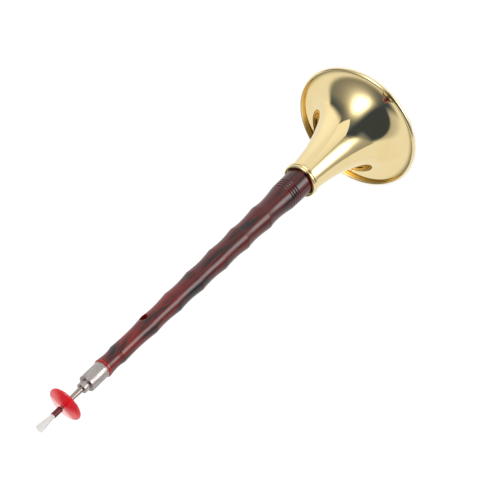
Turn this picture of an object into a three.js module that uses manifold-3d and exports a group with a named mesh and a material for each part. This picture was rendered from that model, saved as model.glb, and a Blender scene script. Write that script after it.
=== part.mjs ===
// Suona: a conical double-reed horn of turned hardwood with a loose brass bell.
//
// Frame: millimetres, +Z up along the bore, origin at the centre of the bell's mouth.
// The horn stands on the rim of its bell. The front finger holes face -Y and the
// thumb hole faces +Y. Four things come off the wooden pipe: the bell slides up over
// it, the metal core slides in its socket, and the lip disc and the reed sit on the core.

import * as THREE from 'three';
import { mergeVertices } from 'three/addons/utils/BufferGeometryUtils.js';
import Module from 'manifold-3d';

const wasm = await Module();
wasm.setup();

// Bell: spun brass sheet with its rim rolled up and inwards into an open curl
const bellRimRadius = 57.5;
const bellLength = 85.8;
const bellSheet = 0.6;
const throatRadius = 13.6;
const throatEndRadius = 22.3;
const throatEndHeight = 34.5;
const throatBulgeShares = { out: 0.279, down: 0.647 };
const flareHandleShare = 0.569;
const flareReachShares = { out: 0.436, down: 0.968 };
const curlRadius = 1.65;
const curlLipAngle = THREE.MathUtils.degToRad(95);
const rimFlatDepth = 0.07;

// Collar soldered round the end of the bell's throat
const collarLength = 5.5;
const collarOverhang = 1.4;
const collarLip = 0.4;
const collarWall = 0.55;
const collarBead = 0.85;
const collarBeadShares = [0.25, 0.75];

// Pipe: turned hardwood with ridges like bamboo and a conical bore
const pipeLength = 262.7;
const seatDepth = 9.8;
const seatLength = 9;
const neckGap = 0.85;
const neckRise = 1.5;
const boreFootRadius = 9.1;
const boreTopRadius = 3.0;
const tenonWall = 1.1;
const tenonLength = 15.6;
const footEdge = 0.5;
const ridgeShare = 0.968;
const waistShare = 0.877;
const ridgeHeightShares = [0.2796, 0.3893, 0.495, 0.6024, 0.7018, 0.8046, 0.9378];
const waistHeightShares = [0.2387, 0.3475, 0.4427, 0.5536, 0.6572, 0.7638, 0.8788, 0.963];
const flangeStep = 0.7;
const flangeLand = 1.5;
const grooveCount = 4;
const groovePitch = 2.75;
const grooveDepth = 0.4;
const grooveWidth = 1.15;
const grooveRise = 13.7;

// Finger holes: seven in front, one in each waist, and one behind for the thumb
const fingerHoleRadius = 3.3;
const thumbHoleShare = 0.81;

// Socket: metal ferrule over the pipe's tenon, with a lining tube that the core slides in
const socketWall = 0.63;
const socketLipStep = 0.2;
const socketLip = 1.2;
const socketEndWall = 1.1;
const socketEdge = 0.35;
const liningWall = 0.5;
const liningReach = 3.5;

// Core: the sliding barrel, its cork and the conical metal staple soldered in it
const barrelWall = 1.17;
const barrelStandOut = 5.1;
const barrelEdge = 0.3;
const pushRoom = 4.7;
const corkLength = 7.2;
const corkPlaceShare = 0.319;
const corkDepth = 0.6;
const stapleLift = 0.8;
const stapleRise = 14.5;
const stapleWall = 0.33;
const stapleFootRadius = 2.95;
const stapleSeatRadius = 1.72;
const stapleSeatLength = 4.5;
const stapleSeatTaper = 0.37;
const stapleTipTaper = 0.11;

// Lip disc: one moulded piece with its hub
const discRadius = 13.7;
const discRimThickness = 1.6;
const discDome = 1.45;
const domeShoulderShares = { out: 0.336, up: 0.75 };
const hubWall = 0.24;
const hubStandOut = 0.8;
const hubTail = 1.2;

// Reed: one tube pressed flat at the tip, held round by a sleeve
const reedLength = 21.85;
const reedLift = 2.0;
const reedWall = 0.35;
const reedTipHalfWidth = 3.02;
const reedTipHalfGap = 0.31;
const reedTipRounding = 0.9;
const reedCornerPower = 4;
const reedLensShare = 0.8;
const reedFlatAngle = THREE.MathUtils.degToRad(-61.5);
const sleeveLength = 7.2;
const sleeveWall = 0.45;
const sleeveEdge = 0.25;
const sleeveOverlap = 1.35;

// Clearances
const seatGap = 0.06;
const pressGap = 0.05;
const slideGap = 0.08;
const corkGap = 0.03;
const shoulderGap = 0.1;
const overrun = 1;

// Facets
const bellSegments = 48;
const pipeSegments = 24;
const discSegments = 42;
const reedSegments = 24;
const throatSteps = 6;
const flareSteps = 6;
const curlSteps = 8;
const waveSteps = 2;
const bladeSteps = 5;
const holeSegments = 16;

// Radii that follow from the staple outwards, each piece round the last
const barrelRadius = stapleFootRadius + barrelWall;
const liningBore = barrelRadius + slideGap;
const liningRadius = liningBore + liningWall;
const tenonBore = liningRadius + pressGap;
const tenonRadius = tenonBore + tenonWall;
const socketBore = tenonRadius + pressGap;
const socketRadius = socketBore + socketWall;
const socketLipRadius = socketRadius + socketLipStep;
const pipeTopRadius = socketLipRadius + flangeStep;
const pipeNeckRadius = throatRadius - bellSheet - neckGap;
const stapleNeckRadius = stapleSeatRadius - stapleSeatTaper;
const stapleTipRadius = stapleNeckRadius - stapleTipTaper;
const hubRadius = stapleSeatRadius + hubWall;

// Heights that follow: the bell's from its mouth, the pipe's and the core's from their feet
const pipeFoot = bellLength - seatDepth - seatLength;
const pipeNeckHeight = bellLength + collarOverhang + neckRise - pipeFoot;
const grooveHeight = pipeNeckHeight + grooveRise;
const socketFoot = pipeLength + shoulderGap;
const socketLength = tenonLength + socketEndWall;
const liningFoot = pipeLength - liningReach;
const barrelFoot = liningFoot + pushRoom;
const barrelLength = socketFoot + socketLength + barrelStandOut - barrelFoot;
const corkHeight = (barrelLength - barrelStandOut - corkLength) * corkPlaceShare;
const stapleSeatHeight = barrelLength + stapleRise - stapleLift;
const stapleSeatTop = stapleSeatHeight + stapleSeatLength;
const hubLength = hubTail + discRimThickness + discDome + hubStandOut;
const reedFootHeight = stapleSeatHeight + hubLength + reedLift;
const stapleLength = reedFootHeight + sleeveLength - sleeveOverlap;

const point = (radius, height) => new THREE.Vector2(radius, height);

// A body turned about Z from a closed outline of (radius, height) points
function turned(outline, segments) {
  const lathe = new THREE.LatheGeometry([...outline, outline[0].clone()], segments);
  lathe.rotateX(Math.PI / 2);
  return welded(lathe);
}

// The same surface with shared vertices and no collapsed triangles
function welded(geometry) {
  geometry.deleteAttribute('normal');
  geometry.deleteAttribute('uv');
  const merged = mergeVertices(geometry);
  const index = merged.index.array;
  const kept = [];
  for (let i = 0; i < index.length; i += 3) {
    const [a, b, c] = index.slice(i, i + 3);
    if (a !== b && b !== c && c !== a) kept.push(a, b, c);
  }
  merged.setIndex(kept);
  merged.computeVertexNormals();
  return merged;
}

function toSolid(geometry) {
  const vertProperties = Float32Array.from(geometry.attributes.position.array);
  const triVerts = Uint32Array.from(geometry.index.array);
  return new wasm.Manifold(new wasm.Mesh({ numProp: 3, vertProperties, triVerts }));
}

function fromSolid(solid) {
  const mesh = solid.getMesh();
  const geometry = new THREE.BufferGeometry();
  geometry.setAttribute('position', new THREE.BufferAttribute(mesh.vertProperties, 3));
  geometry.setIndex(new THREE.BufferAttribute(mesh.triVerts, 1));
  geometry.computeVertexNormals();
  return geometry;
}

// Points along a curve moved sideways, to the left of its direction when the offset is positive
function offsetPoints(curve, steps, offset) {
  const points = [];
  for (let i = 0; i <= steps; i += 1) {
    const tangent = curve.getTangent(i / steps);
    const normal = point(-tangent.y, tangent.x);
    points.push(curve.getPoint(i / steps).addScaledVector(normal, offset));
  }
  return points;
}

// Radius of a falling outline at a height, by straight runs between its points
function radiusAt(outline, height) {
  const next = outline.findIndex((p) => p.y <= height);
  const low = outline[Math.max(next, 1)];
  const high = outline[Math.max(next, 1) - 1];
  return THREE.MathUtils.mapLinear(height, low.y, high.y, low.x, high.x);
}

function arcPoints(centre, radius, fromAngle, toAngle) {
  const points = [];
  for (let i = 0; i <= curlSteps; i += 1) {
    const angle = THREE.MathUtils.lerp(fromAngle, toAngle, i / curlSteps);
    points.push(point(centre.x + radius * Math.cos(angle), centre.y + radius * Math.sin(angle)));
  }
  return points;
}

// The bell's outer surface: a throat that widens slowly, then the flare
const flareEnd = point(bellRimRadius - curlRadius, bellSheet - rimFlatDepth);
const throatEnd = point(throatEndRadius, throatEndHeight);
const throatBulge = point(
  THREE.MathUtils.lerp(throatRadius, throatEndRadius, throatBulgeShares.out),
  THREE.MathUtils.lerp(bellLength, throatEndHeight, throatBulgeShares.down),
);
const throatCurve = new THREE.QuadraticBezierCurve(
  point(throatRadius, bellLength),
  throatBulge,
  throatEnd,
);

// The flare leaves the throat in the throat's own direction
function flareCurve() {
  const handleHeight = THREE.MathUtils.lerp(throatEnd.y, flareEnd.y, flareHandleShare);
  return new THREE.CubicBezierCurve(
    throatEnd,
    point(
      THREE.MathUtils.mapLinear(handleHeight, throatBulge.y, throatEnd.y, throatBulge.x, throatEnd.x),
      handleHeight,
    ),
    point(
      THREE.MathUtils.lerp(throatEnd.x, flareEnd.x, flareReachShares.out),
      THREE.MathUtils.lerp(throatEnd.y, flareEnd.y, flareReachShares.down),
    ),
    flareEnd,
  );
}

function bellSurface(offset) {
  const throat = offsetPoints(throatCurve, throatSteps, offset);
  const flare = offsetPoints(flareCurve(), flareSteps, offset);
  return [...throat, ...flare.slice(1)];
}

// The rim: the sheet rolls up and back inwards over a hollow, and stands on a narrow flat
function rimCurl() {
  const centre = point(flareEnd.x, curlRadius - rimFlatDepth);
  const flatAngle = -Math.asin(centre.y / curlRadius);
  return [
    ...arcPoints(centre, curlRadius - bellSheet, -Math.PI / 2, curlLipAngle),
    ...arcPoints(centre, curlRadius, curlLipAngle, flatAngle),
    point(flareEnd.x, 0),
  ];
}

function bell() {
  const inside = bellSurface(-bellSheet).slice(0, -1).reverse();
  const outline = [...bellSurface(0), ...rimCurl().slice(1), ...inside];
  return turned(outline.reverse(), bellSegments);
}

// Two beads side by side outside, and a lip over the end of the throat
function bellCollar() {
  const top = bellLength + collarOverhang;
  const foot = top - collarLength;
  const surface = bellSurface(pressGap);
  const footRadius = radiusAt(surface, foot);
  const wall = footRadius + collarWall;
  const mouth = throatRadius - collarLip;
  const [low, high] = collarBeadShares.map((share) => foot + share * collarLength);
  return turned([
    point(footRadius, foot),
    point(wall, foot),
    point(wall + collarBead, low - collarBead / 2),
    point(wall + collarBead, low + collarBead / 2),
    point(wall, (low + high) / 2),
    point(wall + collarBead, high - collarBead / 2),
    point(wall + collarBead, high + collarBead / 2),
    point(wall, top),
    point(mouth, top),
    point(mouth, bellLength + pressGap),
    point(surface[0].x, bellLength + pressGap),
  ], bellSegments);
}

// The widened foot lies against the inside of the throat, facet to facet
function pipeSeat() {
  const surface = offsetPoints(throatCurve, throatSteps, -bellSheet - seatGap);
  const top = pipeFoot + seatLength;
  const low = pipeFoot + footEdge;
  const between = surface.filter((p) => p.y < top && p.y > low).reverse();
  const rows = [point(radiusAt(surface, low), low), ...between, point(radiusAt(surface, top), top)];
  return rows.map((row) => point(row.x, row.y - pipeFoot));
}

const pipeHeight = (share) => share * pipeLength;

function pipeRadius(height) {
  return THREE.MathUtils.mapLinear(height, pipeNeckHeight, pipeLength, pipeNeckRadius, pipeTopRadius);
}

function boreRadius(height) {
  return THREE.MathUtils.mapLinear(height, 0, pipeLength, boreFootRadius, boreTopRadius);
}

// A ridge falling to a waist: steep at the ridge and level at the waist
function ridgeToWaist(ridge, waist) {
  const points = [];
  for (let i = 0; i < waveSteps; i += 1) {
    const share = i / waveSteps;
    const fall = Math.sin(share * Math.PI / 2);
    points.push(point(
      THREE.MathUtils.lerp(ridge.x, waist.x, fall),
      THREE.MathUtils.lerp(ridge.y, waist.y, share),
    ));
  }
  return points;
}

function pipeGrooves() {
  const points = [];
  for (let i = 0; i < grooveCount; i += 1) {
    const height = grooveHeight + i * groovePitch;
    points.push(point(pipeRadius(height - grooveWidth / 2), height - grooveWidth / 2));
    points.push(point(pipeRadius(height) - grooveDepth, height));
    points.push(point(pipeRadius(height + grooveWidth / 2), height + grooveWidth / 2));
  }
  return points;
}

function pipeRidges(start) {
  const places = (shares, sizeShare) => shares.map(pipeHeight).map(
    (height) => point(pipeRadius(height) * sizeShare, height),
  );
  const ridges = places(ridgeHeightShares, ridgeShare);
  const waists = places(waistHeightShares, waistShare);
  const flange = point(pipeTopRadius, pipeLength - flangeLand);
  const points = ridgeToWaist(start, waists[0]);
  waists.forEach((waist, i) => {
    const ridge = ridges[i] ?? flange;
    points.push(waist, ...ridgeToWaist(ridge, waist).slice(1).reverse(), ridge);
    if (waists[i + 1]) points.push(...ridgeToWaist(ridge, waists[i + 1]).slice(1));
  });
  return points;
}

function pipeOutline() {
  const seat = pipeSeat();
  const grooves = pipeGrooves();
  return [
    point(boreFootRadius, 0),
    point(seat[0].x - footEdge, 0),
    ...seat,
    point(pipeNeckRadius, pipeNeckHeight),
    ...grooves.slice(0, -1),
    ...pipeRidges(grooves.at(-1)),
    point(pipeTopRadius, pipeLength),
    point(tenonRadius, pipeLength),
    point(tenonRadius, pipeLength + tenonLength),
    point(tenonBore, pipeLength + tenonLength),
    point(tenonBore, liningFoot),
    point(boreRadius(liningFoot), liningFoot),
  ];
}

function fingerHole(height, turn) {
  const reach = pipeNeckRadius + overrun;
  const hole = new THREE.CylinderGeometry(fingerHoleRadius, fingerHoleRadius, reach, holeSegments);
  hole.translate(0, -reach / 2, 0);
  hole.rotateZ(turn);
  hole.translate(0, 0, height);
  return toSolid(welded(hole));
}

function pipe() {
  let solid = toSolid(turned(pipeOutline(), pipeSegments));
  for (const share of waistHeightShares.slice(0, -1)) {
    solid = solid.subtract(fingerHole(pipeHeight(share), 0));
  }
  solid = solid.subtract(fingerHole(pipeHeight(thumbHoleShare), Math.PI));
  return fromSolid(solid);
}

// The lining stands in the tenon, level with its end
function socketLining() {
  const length = liningReach + tenonLength - pressGap;
  return turned([
    point(liningBore, 0),
    point(liningRadius, 0),
    point(liningRadius, length),
    point(liningBore, length),
  ], pipeSegments);
}

function socketCap() {
  return turned([
    point(socketBore, 0),
    point(socketLipRadius, 0),
    point(socketLipRadius, socketLip / 2),
    point(socketRadius, socketLip),
    point(socketRadius, socketLength - socketEdge),
    point(socketRadius - socketEdge, socketLength),
    point(liningBore, socketLength),
    point(liningBore, tenonLength),
    point(socketBore, tenonLength),
  ], pipeSegments);
}

// Radius of the staple's outside, measured up from its foot: foot, seat, neck and tip
function stapleRadius(height) {
  if (height < stapleSeatHeight) {
    return THREE.MathUtils.mapLinear(height, 0, stapleSeatHeight, stapleFootRadius, stapleSeatRadius);
  }
  if (height < stapleSeatTop) {
    const share = (height - stapleSeatHeight) / stapleSeatLength;
    return THREE.MathUtils.lerp(stapleSeatRadius, stapleNeckRadius, share);
  }
  return THREE.MathUtils.mapLinear(height, stapleSeatTop, stapleLength, stapleNeckRadius, stapleTipRadius);
}

function staple() {
  const heights = [0, stapleSeatHeight, stapleSeatTop, stapleLength];
  const outside = heights.map((height) => point(stapleRadius(height), height));
  const inside = outside.map((row) => point(row.x - stapleWall, row.y));
  return turned([...outside, ...inside.reverse()], pipeSegments);
}

function coreBarrel() {
  const bore = (height) => stapleRadius(height - stapleLift) + pressGap;
  const groove = barrelRadius - corkDepth;
  return turned([
    point(bore(0), 0),
    point(barrelRadius - barrelEdge, 0),
    point(barrelRadius, barrelEdge),
    point(barrelRadius, corkHeight),
    point(groove, corkHeight),
    point(groove, corkHeight + corkLength),
    point(barrelRadius, corkHeight + corkLength),
    point(barrelRadius, barrelLength - barrelEdge),
    point(barrelRadius - barrelEdge, barrelLength),
    point(bore(barrelLength), barrelLength),
  ], pipeSegments);
}

function coreCork() {
  const inside = barrelRadius - corkDepth + pressGap;
  const outside = liningBore - corkGap;
  return turned([
    point(inside, pressGap),
    point(outside, pressGap),
    point(outside, corkLength - pressGap),
    point(inside, corkLength - pressGap),
  ], pipeSegments);
}

// The disc's bore is the taper of the staple's seat, where the disc stops by itself
function lipDisc() {
  const bore = (height) => stapleRadius(stapleSeatHeight + height) + seatGap;
  const plateTop = hubTail + discRimThickness;
  const edge = discRimThickness / 2;
  const edgeCentre = point(discRadius - edge, hubTail + edge);
  const crownRadius = hubRadius + discDome;
  return turned([
    point(bore(0), 0),
    point(hubRadius + hubTail / 2, 0),
    point(hubRadius + hubTail, hubTail),
    ...arcPoints(edgeCentre, edge, -Math.PI / 2, Math.PI / 2),
    point(
      THREE.MathUtils.lerp(crownRadius, discRadius, domeShoulderShares.out),
      plateTop + discDome * domeShoulderShares.up,
    ),
    point(crownRadius, plateTop + discDome),
    point(hubRadius, plateTop + discDome),
    point(hubRadius, hubLength),
    point(bore(hubLength), hubLength),
  ], discSegments);
}

// Reed: a round tube whose section widens and flattens to a lens towards the tip
const reedBore = stapleRadius(reedFootHeight) + slideGap;
const reedRadius = reedBore + reedWall;

function reed() {
  const heights = [0, sleeveLength];
  for (let i = 1; i <= bladeSteps; i += 1) {
    heights.push(THREE.MathUtils.lerp(sleeveLength, reedLength, i / bladeSteps));
  }
  const outside = heights.map((height) => point(reedRadius, height));
  const inside = heights.map((height) => point(reedBore, height)).reverse();
  const geometry = turned([...outside, ...inside], reedSegments);
  pressFlat(geometry);
  return geometry;
}

function pressFlat(geometry) {
  const position = geometry.attributes.position;
  const vertex = new THREE.Vector3();
  for (let i = 0; i < position.count; i += 1) {
    vertex.fromBufferAttribute(position, i);
    const radius = Math.hypot(vertex.x, vertex.y);
    const [cosine, sine] = [vertex.x / radius, vertex.y / radius];
    const press = THREE.MathUtils.smoothstep(vertex.z, sleeveLength, reedLength);
    const outer = radius > reedRadius - reedWall / 2;
    const inset = outer ? 0 : reedWall;
    const halfWidth = THREE.MathUtils.lerp(reedRadius, reedTipHalfWidth, press) - inset;
    const halfThickness = THREE.MathUtils.lerp(reedRadius, reedTipHalfGap + reedWall, press) - inset;
    const lens = Math.sign(sine) * Math.abs(sine) ** (1 + press * reedLensShare);
    const corner = (halfWidth * cosine / reedTipHalfWidth) ** reedCornerPower;
    const rounding = press * reedTipRounding * corner;
    position.setXYZ(i, halfWidth * cosine, halfThickness * lens, vertex.z - rounding);
  }
  geometry.computeVertexNormals();
}

function reedSleeve() {
  const inside = reedRadius + pressGap;
  const outside = inside + sleeveWall;
  const foot = -sleeveEdge;
  return turned([
    point(inside, foot),
    point(outside - sleeveEdge, foot),
    point(outside, 0),
    point(outside, sleeveLength - sleeveEdge),
    point(outside - sleeveEdge, sleeveLength),
    point(inside, sleeveLength),
  ], pipeSegments);
}

const material = (color, roughness, metalness) =>
  new THREE.MeshStandardMaterial({ color, roughness, metalness });

const brass = () => material(0xdcc27a, 0.12, 1);
const rosewood = () => material(0x6e2926, 0.22, 0);
const satinAluminium = () => material(0xaaa6a0, 0.35, 1);
const nickel = () => material(0xa39189, 0.25, 1);
const cork = () => material(0xb98a5a, 0.9, 0);
const redPlastic = () => material(0xe11923, 0.15, 0);
const reedPlastic = () => material(0xe6e2de, 0.35, 0);
const maroonPlastic = () => material(0x5f211e, 0.15, 0);

function part(name, geometry, surface, height = 0) {
  const mesh = new THREE.Mesh(geometry, surface);
  mesh.name = name;
  mesh.position.z = height;
  return mesh;
}

// Nested groups: the core rides in the pipe, and the reed and the disc ride on the core
function bellGroup() {
  const group = new THREE.Group();
  group.add(part('bell', bell(), brass()));
  group.add(part('bell_collar', bellCollar(), brass()));
  return group;
}

function reedGroup() {
  const group = new THREE.Group();
  group.position.z = stapleLift + reedFootHeight;
  group.rotation.z = reedFlatAngle;
  group.add(part('reed', reed(), reedPlastic()));
  group.add(part('reed_sleeve', reedSleeve(), maroonPlastic()));
  return group;
}

function coreGroup() {
  const group = new THREE.Group();
  group.position.z = barrelFoot;
  group.add(part('core_barrel', coreBarrel(), satinAluminium()));
  group.add(part('core_cork', coreCork(), cork(), corkHeight));
  group.add(part('staple', staple(), nickel(), stapleLift));
  group.add(part('lip_disc', lipDisc(), redPlastic(), stapleLift + stapleSeatHeight));
  group.add(reedGroup());
  return group;
}

function pipeGroup() {
  const group = new THREE.Group();
  group.position.z = pipeFoot;
  group.add(part('pipe', pipe(), rosewood()));
  group.add(part('socket_lining', socketLining(), brass(), liningFoot + pressGap));
  group.add(part('socket_cap', socketCap(), satinAluminium(), socketFoot));
  group.add(coreGroup());
  return group;
}

const suona = new THREE.Group();
suona.add(bellGroup(), pipeGroup());

export default suona;
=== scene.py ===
"""A suona in a small white studio: turned rosewood pipe, loose brass bell, metal core, lip disc and reed.

Lengths in the classes are millimetres in the CAD frame (Z up the bore, the bell's mouth on the floor),
and every mesh is made in metres, in place, with its object at the origin.
"""

import logging
import math
from dataclasses import dataclass, field
from enum import Enum
from functools import cache

import bpy
import numpy as np
from mathutils import Matrix, Vector


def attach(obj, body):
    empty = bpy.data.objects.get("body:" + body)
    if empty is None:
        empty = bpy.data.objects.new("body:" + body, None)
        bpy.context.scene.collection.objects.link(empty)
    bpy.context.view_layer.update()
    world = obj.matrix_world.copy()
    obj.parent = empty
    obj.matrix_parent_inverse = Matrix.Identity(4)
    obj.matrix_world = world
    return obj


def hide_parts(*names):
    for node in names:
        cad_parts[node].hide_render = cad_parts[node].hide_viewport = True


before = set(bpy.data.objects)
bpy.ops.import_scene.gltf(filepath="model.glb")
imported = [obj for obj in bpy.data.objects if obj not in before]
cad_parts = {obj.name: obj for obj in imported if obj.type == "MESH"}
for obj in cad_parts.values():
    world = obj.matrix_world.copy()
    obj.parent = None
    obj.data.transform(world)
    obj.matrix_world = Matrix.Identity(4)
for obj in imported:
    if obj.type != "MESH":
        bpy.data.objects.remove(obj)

LOG = logging.getLogger("suona")
METRES = 0.001
TINY = 1e-5
Socket = bpy.types.NodeSocket
Piece = bpy.types.Object


class Body(Enum):
    """The bodies that a piece can move with."""

    PIPE = "pipe"
    BELL = "bell"
    CORE = "core"
    LIP_DISC = "lip_disc"
    REED = "reed"


# ---------------------------------------------------------------- shapes


def lerp(a: np.ndarray, b: np.ndarray, share: np.ndarray) -> np.ndarray:
    """The point that lies a share of the way from a to b: a plus share times b less a."""
    return a + (b - a) * share


def bezier(controls: np.ndarray, steps: int) -> tuple[np.ndarray, np.ndarray]:
    """A Bezier curve and its directions: the sum of the controls weighted by the Bernstein terms.

    Args:
        controls: the control points, three or four rows of (radius, height).
        steps: how many runs the curve is cut into.

    Returns:
        The points and the unit directions, one row for each parameter.
    """
    t = np.linspace(0, 1, steps + 1)[:, None]
    degree = len(controls) - 1

    def blend(points: np.ndarray, order: int) -> np.ndarray:
        """The weighted sum: binomial coefficient times t to the k times (1 - t) to the rest.

        Args:
            points: the controls, one row each.
            order: one less than their number.

        Returns:
            One row for each parameter.
        """
        k = np.arange(order + 1)
        chosen = np.array([math.comb(order, i) for i in k])
        return (chosen * t**k * (1 - t) ** (order - k)) @ points

    along = blend(np.diff(controls, axis=0), degree - 1)
    return blend(controls, degree), along / np.linalg.norm(along, axis=1)[:, None]


def moved_aside(points: np.ndarray, along: np.ndarray, distance: float) -> np.ndarray:
    """A curve moved to the left of its direction: each point plus the turned direction times a distance."""
    return points + distance * np.stack([-along[:, 1], along[:, 0]], 1)


def arc(centre: np.ndarray, radius: float, start: float, end: float, steps: int) -> np.ndarray:
    """Points of an arc: centre plus radius times (cosine, sine) of evenly spaced angles, given in radians."""
    angle = np.linspace(start, end, steps + 1)
    return centre + radius * np.stack([np.cos(angle), np.sin(angle)], 1)


def eased(corners: list[tuple[float, float, float]], steps: int = 5) -> np.ndarray:
    """A closed outline with eased corners.

    Each corner is cut back by its own length along both of its edges, and a parabola that is
    tangent to both edges joins the cuts: (1 - t)^2 start + 2 t (1 - t) corner + t^2 end.

    Args:
        corners: (radius, height, cut) of each corner, counterclockwise.
        steps: runs in each eased corner.

    Returns:
        The outline as rows of (radius, height), without doubled points.
    """
    table = np.array(corners, float)
    place, cut = table[:, None, :2], table[:, None, 2:]
    before, after = np.roll(place, 1, 0), np.roll(place, -1, 0)
    into = (place - before) / np.linalg.norm(place - before, axis=2, keepdims=True)
    out = (after - place) / np.linalg.norm(after - place, axis=2, keepdims=True)
    start, end = place - into * cut, place + out * cut
    t = np.linspace(0, 1, steps + 1)[None, :, None]
    points = ((1 - t) ** 2 * start + 2 * t * (1 - t) * place + t**2 * end).reshape(-1, 2)
    gap = np.linalg.norm(points - np.roll(points, 1, 0), axis=1)
    return points[gap > TINY]


def grid_faces(rows: int, columns: int, kept: np.ndarray | None = None) -> np.ndarray:
    """Quads of a grid that closes on itself both ways: (i, j), (i, j+1), (i+1, j+1), (i+1, j).

    Args:
        rows: points along the outline.
        columns: points round the axis.
        kept: which cells to keep, a (rows, columns) array of booleans, or all.

    Returns:
        The quads as rows of four point numbers.
    """
    i, j = np.meshgrid(np.arange(rows), np.arange(columns), indexing="ij")
    i2, j2 = (i + 1) % rows, (j + 1) % columns
    quads = np.stack([i * columns + j, i * columns + j2, i2 * columns + j2, i2 * columns + j], -1)
    return quads[kept] if kept is not None else quads.reshape(-1, 4)


def turned(outline: np.ndarray, segments: int) -> np.ndarray:
    """The grid of a turned surface: (r cos a, r sin a, z) for each outline point and each angle.

    Args:
        outline: closed outline of (radius, height), counterclockwise: up the outside, down the inside.
        segments: points round the axis.

    Returns:
        An array of points, outline by segments by three.
    """
    angle = np.arange(segments) * 2 * np.pi / segments
    radius, height = outline[:, :1], outline[:, 1:]
    return np.stack([radius * np.cos(angle), radius * np.sin(angle), height + 0 * angle], -1)


def make_piece(name: str, points: np.ndarray, faces: np.ndarray, sharp: float = 40.0) -> Piece:
    """Puts points and quads into a smooth-shaded mesh whose object sits at the origin.

    Args:
        name: the piece's name.
        points: places in millimetres, any shape that ends in three.
        faces: quads as rows of point numbers.
        sharp: edges that turn by more than this many degrees stay sharp.

    Returns:
        The new object, linked to the scene.
    """
    used, renumbered = np.unique(faces, return_inverse=True)
    places = points.reshape(-1, 3)[used] * METRES
    mesh = bpy.data.meshes.new(name)
    mesh.from_pydata(places, [], renumbered.reshape(-1, 4))
    mesh.validate()
    mesh.shade_smooth()
    mesh.set_sharp_from_angle(angle=math.radians(sharp))
    piece = bpy.data.objects.new(name, mesh)
    bpy.context.scene.collection.objects.link(piece)
    return piece


def lathe(name: str, outline: np.ndarray, segments: int, sharp: float = 40.0) -> Piece:
    """A piece turned from its closed outline: the grid of the turned surface, joined into quads."""
    points = turned(outline, segments)
    return make_piece(name, points, grid_faces(*points.shape[:2]), sharp)


# ---------------------------------------------------------------- finishes

SMOOTH = {"interpolation_type": "SMOOTHSTEP"}


def linear(colour: str) -> tuple[float, float, float, float]:
    """An sRGB colour as linear light: c / 12.92 below 0.04045, else ((c + 0.055) / 1.055) ^ 2.4.

    Args:
        colour: a hex value such as "#f1dca6".

    Returns:
        Red, green, blue and an alpha of 1.
    """
    channels = [int(colour[i : i + 2], 16) / 255 for i in (1, 3, 5)]
    red, green, blue = (c / 12.92 if c <= 0.04045 else ((c + 0.055) / 1.055) ** 2.4 for c in channels)
    return red, green, blue, 1.0


@dataclass
class Wiring:
    """The node tree of a material or of the world while it is wired."""

    tree: bpy.types.NodeTree

    @classmethod
    def on(cls, owner: bpy.types.Material | bpy.types.World) -> "Wiring":
        """The emptied node tree of a material or a world.

        Args:
            owner: the material or the world.

        Returns:
            Its tree, ready to be wired.
        """
        owner.use_nodes = True
        owner.node_tree.nodes.clear()
        return cls(owner.node_tree)

    def add(self, kind: str, *values: object, out: str | None = None, **named: object) -> Socket:
        """Adds a node with its settings and links.

        Args:
            kind: the node's type, without the ShaderNode that starts it.
            values: for the first inputs in use: values, hex colours, or the outputs that feed them.
            out: the name of the output to return, or None for the first one in use.
            named: other inputs by name, and the node's own settings.

        Returns:
            The output, or None where the node has none.
        """
        node = self.tree.nodes.new("ShaderNode" + kind)
        for name, value in named.items():
            if name not in node.inputs:
                setattr(node, name, value)
        fed = list(zip([socket for socket in node.inputs if socket.enabled], values))
        fed += [(node.inputs[name], value) for name, value in named.items() if name in node.inputs]
        for socket, value in fed:
            if isinstance(value, Socket):
                self.tree.links.new(value, socket)
            else:
                socket.default_value = linear(value) if isinstance(value, str) else value
        return node.outputs[out] if out else next((socket for socket in node.outputs if socket.enabled), None)


@dataclass
class Ground(Wiring):
    """Where a finish paints: a material's tree, and the place on the piece in millimetres."""

    def __post_init__(self) -> None:
        """Object coordinates in millimetres, whole and as X, Y and Z."""
        metres = self.add("TexCoord", out="Object")
        self.place = self.add("VectorMath", metres, (1 / METRES,) * 3, operation="MULTIPLY")
        self.x, self.y, self.z = self.add("SeparateXYZ", self.place).node.outputs

    def grain(self, place: Socket, across: float, along: float, **named: float) -> Socket:
        """Noise from 0.3 to 0.7 or so, with its own number of ripples per millimetre across and along the bore."""
        spread = self.add("Mapping", place, Scale=(across, across, along))
        return self.add("TexNoise", spread, Scale=1.0, **named)

    def stain(self, base: object, over: str, pattern: Socket, low: float, high: float, most: float = 1.0) -> Socket:
        """Lays a colour over another: none of it where the pattern is at low, and the most where it is at high."""
        share = self.add("MapRange", pattern, low, high, 0.0, most, **SMOOTH)
        return self.add("Mix", share, base, over, data_type="RGBA")


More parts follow.
